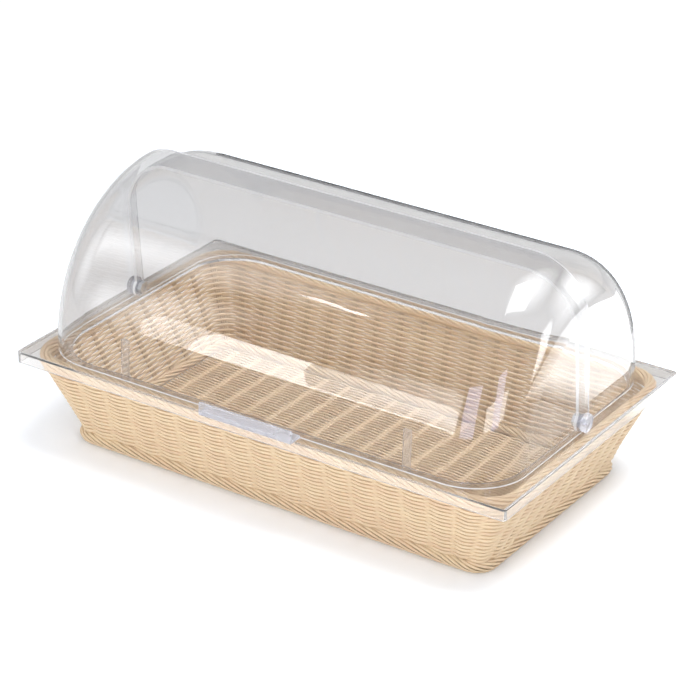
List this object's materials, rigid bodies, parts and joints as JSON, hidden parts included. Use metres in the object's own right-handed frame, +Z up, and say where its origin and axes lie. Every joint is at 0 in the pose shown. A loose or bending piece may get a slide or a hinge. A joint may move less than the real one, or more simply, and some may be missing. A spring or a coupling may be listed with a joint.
{
  "type": "countertop bread display bin",
  "caption": "Rectangular woven bread basket under a clear cover frame with a fixed rear shell and a front lid that rolls up over it by a finger grip.",
  "frame": {"origin": "centre of the basket's foot, on the table", "axes": "+X along the length to the right, -Y towards the lid's grip at the front, +Z up"},
  "size_m": [0.53, 0.3327, 0.2662],
  "materials": {
    "cream_weave": "round woven cane-look plastic strand, satin",
    "weave_core": "coated wire uprights on a foot ring",
    "steel": "plain steel",
    "clear_sheet": "clear glossy sheet",
    "clear_moulding": "slightly milky clear moulding"
  },
  "bodies": {
    "basket": {"floor_weave": "cream_weave", "foot_braid": "cream_weave", "rim_braid": "cream_weave", "rim_wire": "steel", "side_weave": "cream_weave", "stake_frame": "weave_core"},
    "cover": {"cover_frame": "clear_sheet", "locating_tab_left": "clear_sheet", "locating_tab_right": "clear_sheet", "rear_shell": "clear_sheet", "pivot_knob_left": "clear_moulding", "pivot_knob_right": "clear_moulding", "pivot_nut_left": "steel", "pivot_nut_right": "steel", "pivot_pin_left": "steel", "pivot_pin_right": "steel", "pivot_washer_left": "clear_moulding", "pivot_washer_right": "clear_moulding"},
    "lid": {"front_lid": "clear_sheet", "lid_grip": "clear_moulding"}
  },
  "joints": [
    {"name": "cover_lift", "type": "slide", "parent": "basket", "child": "cover", "axis": [0, 0, 1], "range_m": [0, 0.15]},
    {"name": "lid_roll", "type": "hinge", "parent": "cover", "child": "lid", "pos_m": [0, 0.0044, 0.1078], "axis": [-1, 0, 0], "range_deg": [0, 95]}
  ]
}
